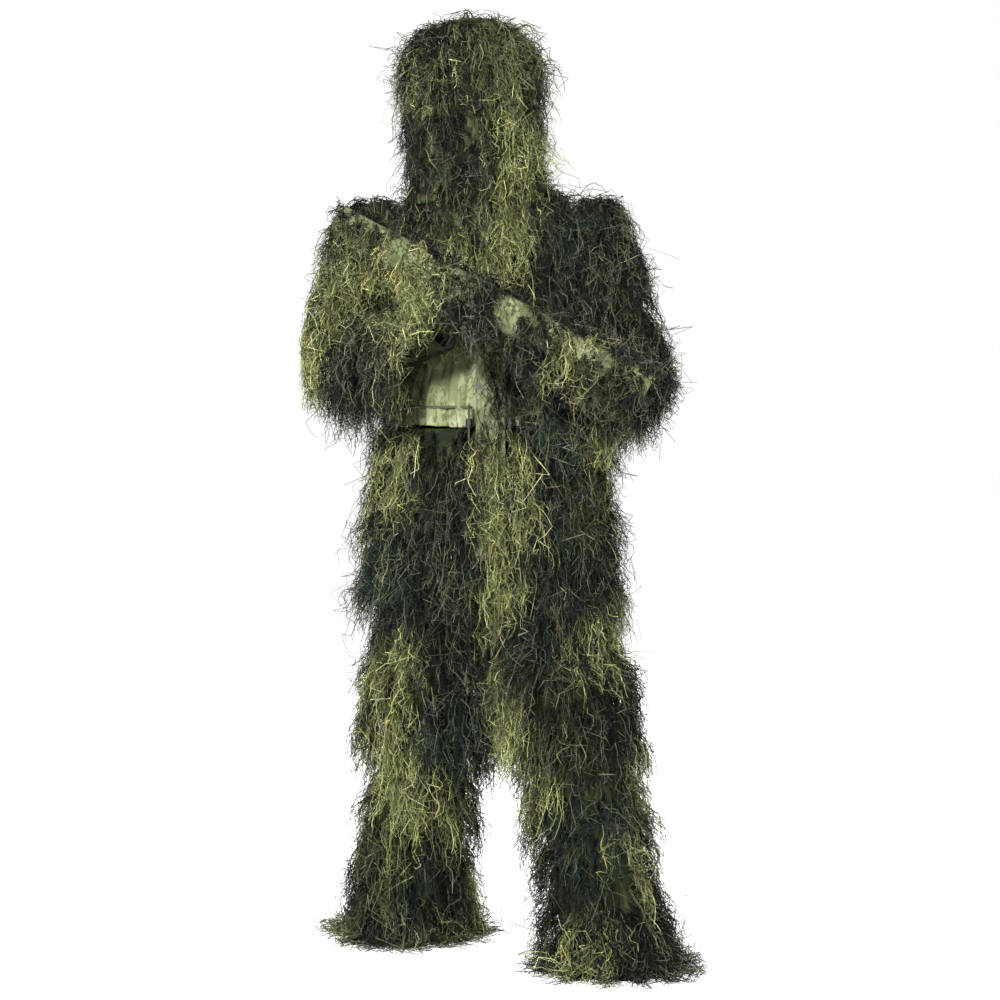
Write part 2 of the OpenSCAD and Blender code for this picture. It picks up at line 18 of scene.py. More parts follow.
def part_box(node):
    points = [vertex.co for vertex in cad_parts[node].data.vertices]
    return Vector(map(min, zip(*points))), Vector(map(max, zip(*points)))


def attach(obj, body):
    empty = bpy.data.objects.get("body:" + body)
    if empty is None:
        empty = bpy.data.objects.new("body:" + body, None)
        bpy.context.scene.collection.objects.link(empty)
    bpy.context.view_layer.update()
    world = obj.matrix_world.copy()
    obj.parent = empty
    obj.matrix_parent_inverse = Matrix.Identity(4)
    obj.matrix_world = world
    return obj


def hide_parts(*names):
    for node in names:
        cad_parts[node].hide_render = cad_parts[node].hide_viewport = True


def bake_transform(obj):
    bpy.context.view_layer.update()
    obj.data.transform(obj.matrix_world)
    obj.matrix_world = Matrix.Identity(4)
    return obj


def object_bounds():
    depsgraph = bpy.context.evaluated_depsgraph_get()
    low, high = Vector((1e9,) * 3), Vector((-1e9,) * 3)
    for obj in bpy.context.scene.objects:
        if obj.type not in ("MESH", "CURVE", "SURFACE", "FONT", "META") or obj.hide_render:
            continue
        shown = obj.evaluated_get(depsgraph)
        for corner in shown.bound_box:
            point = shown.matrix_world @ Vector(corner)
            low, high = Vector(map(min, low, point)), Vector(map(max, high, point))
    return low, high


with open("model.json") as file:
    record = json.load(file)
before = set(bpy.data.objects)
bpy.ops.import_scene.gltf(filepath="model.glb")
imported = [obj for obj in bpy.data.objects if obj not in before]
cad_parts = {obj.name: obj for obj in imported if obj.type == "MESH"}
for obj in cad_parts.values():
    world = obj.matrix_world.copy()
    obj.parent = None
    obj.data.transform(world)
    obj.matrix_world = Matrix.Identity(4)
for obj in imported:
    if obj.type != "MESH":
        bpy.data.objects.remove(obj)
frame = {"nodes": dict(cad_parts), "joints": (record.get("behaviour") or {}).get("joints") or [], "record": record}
cad_low, cad_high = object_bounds()

SIDES = ("right", "left")
UP = np.array([0.0, 0.0, 1.0])
DOWN = -UP

# Cloth
CLOTH_THICKNESS = 0.0022

# Yarn: one strand is a three-sided tube
STRAND_SEGMENTS = 10
STRAND_CORNERS = 3
STRAND_RADIUS = 0.00080
STRANDS_A_TUFT = 8
CURL = 0.0076
# Pull of a tuft's own direction against gravity
STIFFNESS = 1.5
STRANDS_A_PIECE = 3000
GUIDE_STEPS = 8
FLOOR_CLEARANCE = 0.004
TIER = 0.145
# How far yarn may stand out of the frame's box, and over how much of that it is bent back
OVERHANG = 0.015
CROWN_OVERHANG = 0.010
TURN_BACK = 0.035

random = np.random.default_rng(20)


# ---------- Vectors and places ----------

def unit(vectors):
    """Vectors at length one."""
    return vectors / np.maximum(np.linalg.norm(vectors, axis=-1, keepdims=True), 1e-9)


def middle(node):
    """Centre of a node's box."""
    low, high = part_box(node)
    return np.array((low + high) / 2)


def joint_place(name):
    """Pivot of a joint."""
    return np.array(next(j for j in frame["joints"] if j["name"] == name)["pos_m"])


def nearest_on_line(points, line):
    """For each point, the nearest place on a run of straight lines."""
    best = np.full(len(points), np.inf)
    found = np.zeros_like(points)
    for start, end in zip(line[:-1], line[1:]):
        way = end - start
        share = np.clip((points - start) @ way / (way @ way), 0, 1)
        place = start + share[:, None] * way
        distance = np.linalg.norm(points - place, axis=1)
        closer = distance < best
        best[closer] = distance[closer]
        found[closer] = place[closer]
    return found


def points_of(mesh):
    """Places of a mesh's vertices."""
    points = np.empty(len(mesh.vertices) * 3, np.float32)
    mesh.vertices.foreach_get("co", points)
    return points.reshape(-1, 3).astype(float)


def normals_of(corners):
    """Normals of triangles, twice their area in length."""
    return np.cross(corners[:, 1] - corners[:, 0], corners[:, 2] - corners[:, 0])


def end_centre(node, top):
    """Centre of the upper or the lower rim of an upright tube."""
    rim_height = 0.004
    points = points_of(frame["nodes"][node].data)
    limit = points[:, 2].max() if top else points[:, 2].min()
    return points[np.abs(points[:, 2] - limit) < rim_height].mean(axis=0)


# Upright middle line of the torso
torso_x, torso_y = middle("skirt_panel")[:2]

# Core lines of the body, from which a skin's outside is told
torso_core = [middle("skirt_panel") - [0, 0, 0.2], middle("skirt_panel"), middle("collar_band")]
head_core = [middle("hood_shell") - [0, 0, 0.06], middle("hood_shell") + [0, 0, 0.04]]
leg_core = {}
arm_core = {}
for side in SIDES:
    leg_core[side] = [
        end_centre(f"thigh_panel_{side}", True),
        end_centre(f"thigh_panel_{side}", False),
        end_centre(f"shin_panel_{side}", True),
        end_centre(f"shin_panel_{side}", False),
    ]
    arm_core[side] = [
        joint_place(f"shoulder_{side}"),
        middle(f"elbow_gusset_{side}"),
        middle(f"cuff_elastic_{side}"),
    ]
tool_bore = next(m for m in frame["record"]["mounts"] if m["name"] == "tool_bore")
tool_centre = np.array(tool_bore["pos_m"])
tool_way = np.array(tool_bore["axis"])
tool_half = tool_bore["dims"]["length_mm"] / 2000
tool_radius = tool_bore["dims"]["r_mm"] / 1000
tool_core = [tool_centre - tool_way * tool_half, tool_centre + tool_way * tool_half]
veil_core = [middle("hood_shell") + [0, 0.05, -0.3], middle("hood_shell") + [0, 0.05, 0.1]]


# ---------- Materials ----------

def linear(red, green, blue):
    """Linear RGBA of an 8-bit display colour."""
    def channel(value):
        value /= 255
        return value / 12.92 if value <= 0.04045 else ((value + 0.055) / 1.055) ** 2.4
    return (channel(red), channel(green), channel(blue), 1.0)


class Paint:
    """A node material under construction."""

    def __init__(self, name):
        self.material = bpy.data.materials.new(name)
        self.material.use_nodes = True
        self.tree = self.material.node_tree
        self.shader = self.tree.nodes["Principled BSDF"]

    def node(self, kind, **inputs):
        """A new node with its inputs set; an input named by a link's output socket is linked."""
        made = self.tree.nodes.new("ShaderNode" + kind)
        for name, value in inputs.items():
            self.feed(made.inputs[name.replace("_", " ")], value)
        return made

    def feed(self, socket, value):
        """Sets a socket to a value, or links it."""
        if isinstance(value, bpy.types.NodeSocket):
            self.tree.links.new(value, socket)
        else:
            socket.default_value = value

    def finish(self, **inputs):
        """Sets the shader's inputs."""
        for name, value in inputs.items():
            self.feed(self.shader.inputs[name.replace("_", " ")], value)
        return self.material

    def place(self, scale=(1, 1, 1)):
        """Position in metres, stretched by a scale for each axis."""
        where = self.node("TexCoord").outputs["Object"]
        return self.node("Mapping", Vector=where, Scale=scale).outputs["Vector"]

    def noise(self, scale, stretch=(1, 1, 1), detail=3.0, distortion=0.0):
        """Noise at a scale in features a metre."""
        made = self.node("TexNoise", Vector=self.place(stretch), Scale=scale, Detail=detail,
                         Distortion=distortion)
        return made.outputs["Fac"]

    def bands(self, scale, direction):
        """Even bands across an axis."""
        made = self.node("TexWave", Vector=self.place(), Scale=scale, Distortion=0.0)
        made.bands_direction = direction
        return made.outputs["Fac"]

    def ramp(self, value, stops, sharp=False):
        """Colours along a value; sharp ones have no blend between them."""
        made = self.node("ValToRGB", Fac=value)
        made.color_ramp.interpolation = "CONSTANT" if sharp else "LINEAR"
        elements = made.color_ramp.elements
        while len(elements) < len(stops):
            elements.new(0.5)
        for element, (place, colour) in zip(elements, stops):
            element.position = place
            element.color = colour
        return made.outputs["Color"]

    def mix(self, blend, factor, first, second):
        """Two colours mixed."""
        made = self.tree.nodes.new("ShaderNodeMix")
        made.data_type = "RGBA"
        made.blend_type = blend
        self.feed(made.inputs["Factor"], factor)
        self.feed([s for s in made.inputs if s.name == "A" and s.type == "RGBA"][0], first)
        self.feed([s for s in made.inputs if s.name == "B" and s.type == "RGBA"][0], second)
        return [s for s in made.outputs if s.type == "RGBA"][0]

    def spread(self, value, low, high):
        """A 0 to 1 value spread between two numbers."""
        return self.node("MapRange", Value=value, To_Min=low, To_Max=high).outputs["Result"]

    def relief(self, height, strength, distance):
        """Bump from a height."""
        return self.node("Bump", Height=height, Strength=strength, Distance=distance).outputs["Normal"]


def grey(level):
    """Linear grey RGBA."""
    return (level, level, level, 1.0)


def print_material(name, shades, blotch, pitch=0.0011):
    """Printed camouflage cloth: blotches of four shades over a fine weave."""
    paint = Paint(name)
    broad = paint.noise(blotch, (1, 1, 0.62), 4.0, 0.9)
    fine = paint.noise(blotch * 3.2, (1, 1, 0.7), 3.0, 1.4)
    ground = paint.ramp(broad, [(0.0, shades[0]), (0.44, shades[1]), (0.56, shades[2])], True)
    specks = paint.ramp(fine, [(0.0, grey(0)), (0.57, grey(1))], True)
    pattern = paint.mix("MIX", specks, ground, shades[3])
    fade = paint.ramp(paint.noise(9.0), [(0.3, grey(0.72)), (0.7, grey(1.0))])
    threads = paint.bands(0.16 / pitch, "Z")
    across = paint.bands(0.16 / pitch, "X")
    woven = paint.mix("MULTIPLY", 1.0, paint.ramp(threads, [(0, grey(0.8)), (1, grey(1))]),
                      paint.ramp(across, [(0, grey(0.86)), (1, grey(1))]))
    colour = paint.mix("MULTIPLY", 1.0, paint.mix("MULTIPLY", 1.0, pattern, fade), woven)
    return paint.finish(
        Base_Color=colour,
        Roughness=paint.spread(fine, 0.78, 0.95),
        Specular_IOR_Level=0.15,
        Normal=paint.relief(woven, 0.35, 0.0006),
    )


def yarn_material():
    """Fuzzy spun yarn, tinted strand by strand."""
    paint = Paint("spun_yarn")
    tint = paint.node("Attribute")
    tint.attribute_name = "yarn_colour"
    fibre = paint.noise(420.0, (1, 1, 0.6), 2.0)
    shade = paint.ramp(fibre, [(0.3, grey(0.66)), (0.7, grey(1.25))])
    return paint.finish(
        Base_Color=paint.mix("MULTIPLY", 1.0, tint.outputs["Color"], shade),
        Roughness=0.8,
        Specular_IOR_Level=0.12,
    )


def webbing_material(name, dark, light, pitch=0.0016):
    """Ribbed tape, elastic or cord."""
    paint = Paint(name)
    rib = paint.bands(0.16 / pitch, "Z")
    skew = paint.bands(0.16 / pitch, "DIAGONAL")
    wear = paint.noise(60.0)
    thread = paint.mix("MIX", 0.5, rib, skew)
    colour = paint.mix("MIX", thread, dark, light)
    worn = paint.mix("MULTIPLY", 1.0, colour, paint.ramp(wear, [(0.3, grey(0.75)), (0.7, grey(1.1))]))
    return paint.finish(
        Base_Color=worn,
        Roughness=paint.spread(wear, 0.68, 0.88),
        Normal=paint.relief(thread, 0.4, 0.0005),
    )


def hard_material(name, dark, light, metallic, rough):
    """Moulded plastic or cast metal with faint grain and wear."""
    paint = Paint(name)
    grain = paint.noise(260.0, detail=4.0)
    wear = paint.noise(45.0)
    return paint.finish(
        Base_Color=paint.mix("MIX", wear, dark, light),
        Metallic=metallic,
        Roughness=paint.spread(grain, rough, rough + 0.22),
        Normal=paint.relief(grain, 0.12, 0.0002),
    )


# Shell cloth: its camouflage print darkened to near black as painted shade, so cloth seen between the yarn stands
# in for the shade among the strands.
SHELL_PRINT_AND_SHADE = print_material(
    "shell_print_and_painted_shade",
    [linear(30, 36, 20), linear(44, 52, 28), linear(62, 70, 40), linear(22, 27, 16)], 16.0,
)
# Belly cloth: a paler copy of the pale print, painted light that makes up for the shadow the forearm casts over
# the belly.
LIT_BELLY_PRINT = print_material(
    "belly_print_painted_light",
    [linear(128, 136, 96), linear(148, 154, 114), linear(168, 172, 138), linear(110, 119, 82)], 24.0,
)
PRINT = print_material(
    "pale_print",
    [linear(92, 99, 66), linear(117, 122, 88), linear(142, 145, 112), linear(68, 77, 50)], 24.0,
)
NET = print_material(
    "net_print",
    [linear(64, 74, 44), linear(82, 92, 56), linear(104, 114, 70), linear(48, 58, 36)], 20.0, 0.0024,
)
YARN = yarn_material()
TAPE = webbing_material("olive_tape", linear(40, 44, 28), linear(78, 82, 54))
BLACK_TAPE = webbing_material("black_elastic", linear(20, 21, 19), linear(46, 47, 43))
CORD = webbing_material("braided_cord", linear(34, 36, 27), linear(84, 84, 62), 0.0012)
PLASTIC = hard_material("moulded_plastic", linear(20, 21, 19), linear(34, 35, 32), 0.0, 0.42)
BRASS = hard_material("dark_brass", linear(96, 84, 48), linear(140, 124, 78), 0.9, 0.34)
STEEL = hard_material("dull_steel", linear(60, 62, 58), linear(92, 94, 90), 0.9, 0.44)

# Materials of the nodes that show as they are
NODE_FINISH = {
    TAPE: ("hanger_loop", "zip_pull", "hood_binding", "wrap_bands"),
    BLACK_TAPE: ("zip_tapes", "waistband", "cuff_elastic_right", "cuff_elastic_left",
                 "hem_elastic_right", "hem_elastic_left"),
    CORD: ("waist_drawcord", "hem_drawcord", "hood_drawcord"),
    PLASTIC: ("waist_lock_right", "waist_lock_left", "hood_lock"),
    BRASS: ("zip_teeth", "zip_slider"),
    STEEL: ("flap_snaps", "snap_studs"),
}


def dress(mesh, material):
    """Gives a mesh one material."""
    mesh.materials.clear()
    mesh.materials.append(material)


# ---------- Skins of the frame ----------

def skin_of(node, core, outward, least=0.3):
    """Triangles of a node that face away from, or towards, a core line."""
    mesh = frame["nodes"][node].data
    mesh.calc_loop_triangles()
    index = np.empty(len(mesh.loop_triangles) * 3, np.int32)
    mesh.loop_triangles.foreach_get("vertices", index)
    corners = points_of(mesh)[index.reshape(-1, 3)]
    centres = corners.mean(axis=1)
    away = unit(centres - nearest_on_line(centres, core))
    facing = (unit(normals_of(corners)) * away).sum(axis=1)
    return corners[facing > least] if outward else corners[facing < -least]


def grid_quads(rows, columns, closed):
    """Point numbers of the quads of a grid; a closed one joins its last column to its first."""
    last = columns if closed else columns - 1
    return [
        (i * columns + j, i * columns + (j + 1) % columns,
         (i + 1) * columns + (j + 1) % columns, (i + 1) * columns + j)
        for i in range(rows - 1) for j in range(last)
    ]


def grid_corners(grid):
    """Triangles of a closed grid of points."""
    rows, columns, _ = grid.shape
    quads = np.array(grid_quads(rows, columns, True))
    halves = np.stack([quads[:, [0, 1, 2]], quads[:, [0, 2, 3]]], axis=1)
    return grid.reshape(-1, 3)[halves.reshape(-1, 3)]


def faced_out(corners, core):
    """Triangles turned to face away from a core line."""
    centres = corners.mean(axis=1)
    inward = (normals_of(corners) * (centres - nearest_on_line(centres, core))).sum(axis=1) < 0
    turned = corners.copy()
    turned[inward] = corners[inward][:, ::-1]
    return turned


def tree_of(corners):
    """Search tree over triangles."""
    points = corners.reshape(-1, 3)
    faces = np.arange(len(points)).reshape(-1, 3)
    return BVHTree.FromPolygons(points.tolist(), faces.tolist())


# ---------- Cloth ----------

def quads_from(corners, name):
    """Welded mesh of quads from triangles, facing outwards."""
    mesh = bpy.data.meshes.new(name)
    points = corners.reshape(-1, 3)
    faces = np.arange(len(points)).reshape(-1, 3)[:, ::-1]
    mesh.from_pydata(points.tolist(), [], faces.tolist())
    shape = bmesh.new()
    shape.from_mesh(mesh)
    bmesh.ops.remove_doubles(shape, verts=shape.verts, dist=0.0004)
    bmesh.ops.join_triangles(
        shape, faces=shape.faces, angle_face_threshold=0.9, angle_shape_threshold=1.2,
    )
    shape.to_mesh(mesh)
    shape.free()
    return mesh


def in_scene(name, data):
    """A new object in the scene."""
    made = bpy.data.objects.new(name, data)
    bpy.context.scene.collection.objects.link(made)
    return made


def baked(piece):
    """Applies the piece's modifiers."""
    graph = bpy.context.evaluated_depsgraph_get()
    mesh = bpy.data.meshes.new_from_object(piece.evaluated_get(graph), depsgraph=graph)
    piece.modifiers.clear()
    piece.data = mesh
    return piece


def new_piece(name, mesh, material):
    """A shown object with one material."""
    piece = in_scene(name, mesh)
    dress(mesh, material)
    return piece


def waves(points, seed, size):
    """Smooth vector field, about one in size, with folds some way apart."""
    source = np.random.default_rng(seed)
    total = np.zeros_like(points)
    for octave in range(4):
        for _ in range(3):
            way = source.normal(size=3) * (2 * math.pi / size) * 1.6 ** octave / 1.7
            push = source.normal(size=3) / 1.7 ** octave
            total += np.sin(points @ way + source.uniform(0, 6.3))[:, None] * push / 2.4
    return total


def cloth(name, mesh, material, levels, fold, crumple, seed):
    """Cloth sheet with soft folds, a thickness and rounded shading."""
    piece = new_piece(name, mesh, material)
    rounder = piece.modifiers.new("rounder", "SUBSURF")
    rounder.levels = rounder.render_levels = levels
    rounder.boundary_smooth = "PRESERVE_CORNERS"
    baked(piece)
    points = points_of(piece.data)
    points += waves(points, seed, 0.09) * crumple
    if fold is not None:
        points += fold(points)
    piece.data.vertices.foreach_set("co", points.astype(np.float32).ravel())
    piece.data.update()
    wall = piece.modifiers.new("wall", "SOLIDIFY")
    wall.thickness = CLOTH_THICKNESS
    wall.offset = 1.0
    baked(piece)
    for corner in piece.data.vertices:
        corner.co.z = max(corner.co.z, 0.0)
    piece.data.shade_smooth()
    dress(piece.data, material)
    return piece


def loft(first, first_way, last, last_way, rows):
    """Grid that runs smoothly from one ring of points to another."""
    share = np.linspace(0, 1, rows)[:, None, None]
    a = 2 * share ** 3 - 3 * share ** 2 + 1
    b = share ** 3 - 2 * share ** 2 + share
    c = -2 * share ** 3 + 3 * share ** 2
    d = share ** 3 - share ** 2
    return a * first + b * first_way + c * last + d * last_way


def grid_mesh(grid, name, closed=True):
    """Mesh of quads from a grid of points."""
    rows, columns, _ = grid.shape
    mesh = bpy.data.meshes.new(name)
    mesh.from_pydata(grid.reshape(-1, 3).tolist(), [], grid_quads(rows, columns, closed))
    return mesh


def ring(centre, first, second, count=24):
    """Points round an ellipse with the given half axes."""
    angles = np.linspace(0, 2 * math.pi, count, endpoint=False)[:, None]
    return centre + np.cos(angles) * first + np.sin(angles) * second


def frame_cloth(node, core, seed, body=None, material=SHELL_PRINT_AND_SHADE, levels=2, fold=None, crumple=0.002):
    """Cloth grown from a node's inner skin, standing for that node."""
    mesh = quads_from(skin_of(node, core, False), node + "_cloth")
    piece = cloth(node + "_cloth", mesh, material, levels, fold, crumple, seed)
    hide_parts(node)
    if body:
        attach(piece, body)
    return piece


def round_torso(points):
    """Angle about the torso's middle line, and the level direction away from it."""
    out = (points - [torso_x, torso_y, 0]) * [1, 1, 0]
    return np.arctan2(out[:, 0], -out[:, 1]), unit(out)


def waist_pleats(points):
    """Upright folds that rise from the gathered waist seam and die out above it."""
    low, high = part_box("belly_panel_right")
    rise = np.clip((points[:, 2] - low[2]) / (high[2] - low[2]), 0, 1)
    angle, out = round_torso(points)
    depth = 0.0042 * (1 - rise) ** 0.7 * np.sin(angle * 46 + 1.8 * np.sin(points[:, 2] * 31))
    depth += 0.0050 * np.sin(angle * 17 + points[:, 2] * 14) * (1 - 0.5 * rise)
    return out * depth[:, None]


def hem_flutes(points):
    """Soft flutes that deepen towards the hem of the skirt."""
    low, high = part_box("skirt_panel")
    fall = np.clip((high[2] - points[:, 2]) / (high[2] - low[2]), 0, 1)
    angle, out = round_torso(points)
    return out * (0.006 * fall * np.sin(angle * 14 + 0.6))[:, None]


def add_cloth():
    """Every woven shell."""
    for node in ("back_panel", "front_panel_right", "front_panel_left", "shoulder_yoke", "collar_band"):
        frame_cloth(node, torso_core, 3, "jacket", crumple=0.0015)
    for node in ("belly_panel_right", "belly_panel_left"):
        frame_cloth(node, torso_core, 5, "jacket", LIT_BELLY_PRINT, 4, waist_pleats)
    frame_cloth("skirt_panel", torso_core, 7, "jacket", levels=3, fold=hem_flutes)
    frame_cloth("seat_panel", torso_core, 8, "trousers")
    frame_cloth("hood_shell", head_core, 9, "hood", levels=3, crumple=0.003)
    frame_cloth("veil_mesh", veil_core, 10, "veil", NET, 4, crumple=0.004)
    for side in SIDES:
        legs = leg_core[side]
        arms = arm_core[side]
        for part, seed in (("thigh", 11), ("shin", 12)):
            frame_cloth(f"{part}_panel_{side}", legs, seed, f"{part}_{side}", crumple=0.003)
        knee = frame_cloth(f"knee_gusset_{side}", legs, 13, levels=3, crumple=0.003)
        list(knee_span(side))
        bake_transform(knee)
        for part, body, levels, seed in (("upper", "upper_arm", 2, 14), ("forearm", "forearm", 3, 15)):
            frame_cloth(f"{part}_sleeve_{side}", arms, seed, f"{body}_{side}", levels=levels)
        elbow = frame_cloth(f"elbow_gusset_{side}", arms, 16, levels=3)
        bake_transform(elbow)
        add_shoulder(side)
        add_hip(side)
    add_flap()
    add_tool_sleeve()
    add_neck()


def knee_span(side):
    """Where the knee's bend starts and ends."""
    return end_centre(f"knee_gusset_{side}", True), end_centre(f"knee_gusset_{side}", False)


def elbow_span(side):
    """Where the elbow's bend starts and ends: the gusset's ends along the arm."""
    upper = middle(f"upper_sleeve_{side}")
    fore = middle(f"forearm_sleeve_{side}")
    bend = middle(f"elbow_gusset_{side}")
    reach = 0.045
    return bend + unit(upper - bend) * reach, bend + unit(fore - bend) * reach


def shoulder_grid(side):
    """Sleeve head, from the jacket's side to the upper sleeve."""
    sign = -1 if side == "right" else 1
    pivot = joint_place(f"shoulder_{side}")
    low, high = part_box("shoulder_yoke")
    inset = 0.030
    hole_height = 0.082
    hole_depth = 0.078
    hole_lean = 0.022
    cuff_reach = 0.075
    cuff_radius = 0.063
    reach = (high[0] - low[0]) / 2 - inset
    edge = np.array([torso_x + sign * reach, pivot[1] - 0.008, pivot[2] - 0.052])
    hole = ring(edge, np.array([hole_lean * -sign, 0, hole_height]), np.array([0, hole_depth, 0]))
    down = unit(arm_core[side][1] - arm_core[side][0])
    across = unit(np.cross(down, np.array([0.0, 1.0, 0.0])) * -sign)
    depth = np.cross(down, across)
    depth = depth * np.sign(depth[1])
    cuff = pivot + down * cuff_reach
    end = ring(cuff, across * cuff_radius, depth * cuff_radius)
    return loft(hole, np.array([sign * 0.11, 0, -0.02]), end, down * 0.10, 9), edge, cuff


def add_shoulder(side):
    """Sleeve head."""
    grid, edge, cuff = shoulder_grid(side)
    order = grid[:, ::-1] if side == "left" else grid
    piece = cloth(f"sleeve_head_{side}", grid_mesh(order, "head"), SHELL_PRINT_AND_SHADE, 1, None, 0.002, 21)
    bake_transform(piece)


def hip_grid(side):
    """Top of a trouser leg, from the seat down to the thigh panel."""
    sign = -1 if side == "right" else 1
    low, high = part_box("seat_panel")
    half = (high[0] - low[0]) / 4
    seat_depth = 0.108
    leg_radius = 0.0925
    parting = 0.004
    drop = DOWN * 0.06
    seat = np.array([torso_x + sign * (half + parting), middle("seat_panel")[1], low[2] + 0.02])
    top = ring(seat, np.array([half, 0, 0]), np.array([0, seat_depth, 0]))
    base = end_centre(f"thigh_panel_{side}", True) - [0, 0, 0.006]
    end = ring(base, np.array([leg_radius, 0, 0]), np.array([0, leg_radius, 0]))
    return loft(top, drop, end, drop, 7), seat, base


def add_hip(side):
    """Top of a trouser leg."""
    grid, seat, base = hip_grid(side)
    mesh = grid_mesh(grid[::-1], "leg_top")
    piece = cloth(f"leg_top_{side}", mesh, SHELL_PRINT_AND_SHADE, 1, None, 0.002, 22)
    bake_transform(piece)


def add_flap():
    """Storm flap with a row of stitching sunk along each side, and faint ripples up it."""
    low, high = (np.array(v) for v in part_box("storm_flap"))
    columns, rows = 15, 93
    across = np.linspace(low[0], high[0], columns)
    share = np.linspace(0, 1, rows)
    points = points_of(frame["nodes"]["storm_flap"].data)
    foot = points[points[:, 2] < low[2] + 0.003][:, 1].max()
    head = points[points[:, 2] > high[2] - 0.003][:, 1].max()
    grid = np.zeros((rows, columns, 3))
    grid[:, :, 0] = across
    grid[:, :, 1] = (foot + (head - foot) * share)[:, None]
    grid[:, :, 2] = (low[2] + (high[2] - low[2]) * share)[:, None]
    inset = np.minimum(across - low[0], high[0] - across)
    seam = -0.0006 * np.exp(-((inset - 0.006) / 0.002) ** 2)
    grid[:, :, 1] -= seam - 0.0008 * np.sin(share * 60)[:, None]
    mesh = grid_mesh(grid, "flap", False)
    piece = cloth("storm_flap_cloth", mesh, PRINT, 1, None, 0.0008, 23)
    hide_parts("storm_flap")
    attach(piece, "storm_flap")


def add_tool_sleeve():
    """Printed tube round the tool, creased between its bands."""
    side = unit(np.cross(tool_way, UP))
    over = np.cross(side, tool_way)
    rows = 90
    rings = []
    for share in np.linspace(-1, 1, rows):
        radius = tool_radius + 0.0004 + 0.0012 * abs(math.sin(share * 27)) * (1 - abs(share) ** 8)
        rings.append(ring(tool_centre + tool_way * tool_half * share, side * radius, over * radius, 32))
    mesh = grid_mesh(np.array(rings)[:, ::-1], "tool")
    piece = cloth("tool_sleeve", mesh, PRINT, 1, None, 0.0004, 24)
    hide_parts("wrap_sleeve")
    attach(piece, "rifle_wrap")


def add_neck():
    """Cloth between the collar and the back of the hood."""
    rise = 0.012
    collar_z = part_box("collar_band")[1][2] - 0.003
    seam_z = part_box("hood_shell")[0][2] + rise
    angles = np.radians(np.linspace(-8, 188, 29))

    def bow(x, y, z, half_width, half_depth):
        return np.stack([
            x + half_width * np.cos(angles), y + half_depth * np.sin(angles), np.full(len(angles), z),
        ], axis=1)

    collar = bow(torso_x, middle("collar_band")[1], collar_z, 0.0905, 0.089)
    hood = bow(torso_x - 0.008, torso_y - 0.018, seam_z, 0.0955, 0.0935)
    grid = loft(collar, UP * rise, hood, UP * rise, 6)
    mesh = grid_mesh(grid, "neck", False)
    piece = cloth("hood_seam_cloth", mesh, SHELL_PRINT_AND_SHADE, 1, None, 0.0006, 25)
    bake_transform(piece)


# ---------- Yarn ----------

# Dye colours; each stands for the middle of what its strands show
DYES = {
    "charcoal": linear(37, 40, 36),
    "olive": linear(66, 70, 50),
    "teal": linear(34, 47, 44),
    "moss": linear(100, 104, 67),
    "bright": linear(150, 154, 98),
    "khaki": linear(160, 158, 126),
}
DYE_NAMES = list(DYES)
# How often each dye is met; the last is only found in single strands
DYE_SHARES = (0.36, 0.30, 0.09, 0.14, 0.07, 0.04)

# Patches on the front, as shares across and up the suit's box, and a radius in metres
SPOTS = {
    "bright": (
        (0.52, 0.905, 0.032), (0.53, 0.860, 0.032), (0.51, 0.810, 0.032), (0.52, 0.765, 0.028),
        (0.22, 0.715, 0.050),
        (0.06, 0.655, 0.050), (0.44, 0.745, 0.040), (0.27, 0.550, 0.038), (0.26, 0.500, 0.040),
        (0.14, 0.480, 0.030), (0.53, 0.540, 0.036), (0.53, 0.480, 0.046), (0.49, 0.400, 0.046),
        (0.50, 0.320, 0.036), (0.75, 0.560, 0.036), (0.78, 0.500, 0.040), (0.72, 0.360, 0.046),
        (0.19, 0.290, 0.044), (0.28, 0.205, 0.042), (0.20, 0.095, 0.036), (0.55, 0.270, 0.034),
        (0.82, 0.230, 0.036), (0.79, 0.120, 0.038), (0.72, 0.035, 0.034), (0.62, 0.200, 0.030),
        (0.32, 0.665, 0.042), (0.12, 0.710, 0.040), (0.30, 0.720, 0.036),
    ),
    "charcoal": (
        (0.36, 0.880, 0.075), (0.32, 0.830, 0.050), (0.76, 0.750, 0.090), (0.84, 0.680, 0.080),
        (0.14, 0.610, 0.070), (0.37, 0.530, 0.060), (0.66, 0.420, 0.050), (0.30, 0.400, 0.055),
        (0.74, 0.270, 0.070), (0.42, 0.110, 0.060), (0.90, 0.160, 0.050),
        (0.07, 0.055, 0.060), (0.34, 0.040, 0.060), (0.60, 0.080, 0.060), (0.90, 0.035, 0.060),
        (0.88, 0.600, 0.060), (0.68, 0.690, 0.050), (0.42, 0.930, 0.036), (0.62, 0.870, 0.032),
        (0.43, 0.790, 0.030), (0.62, 0.800, 0.030), (0.66, 0.120, 0.050),
    ),
    "teal": (
        (0.24, 0.440, 0.055), (0.35, 0.265, 0.055), (0.63, 0.560, 0.050), (0.70, 0.165, 0.055),
        (0.67, 0.790, 0.050), (0.60, 0.385, 0.036), (0.14, 0.170, 0.045),
    ),
}


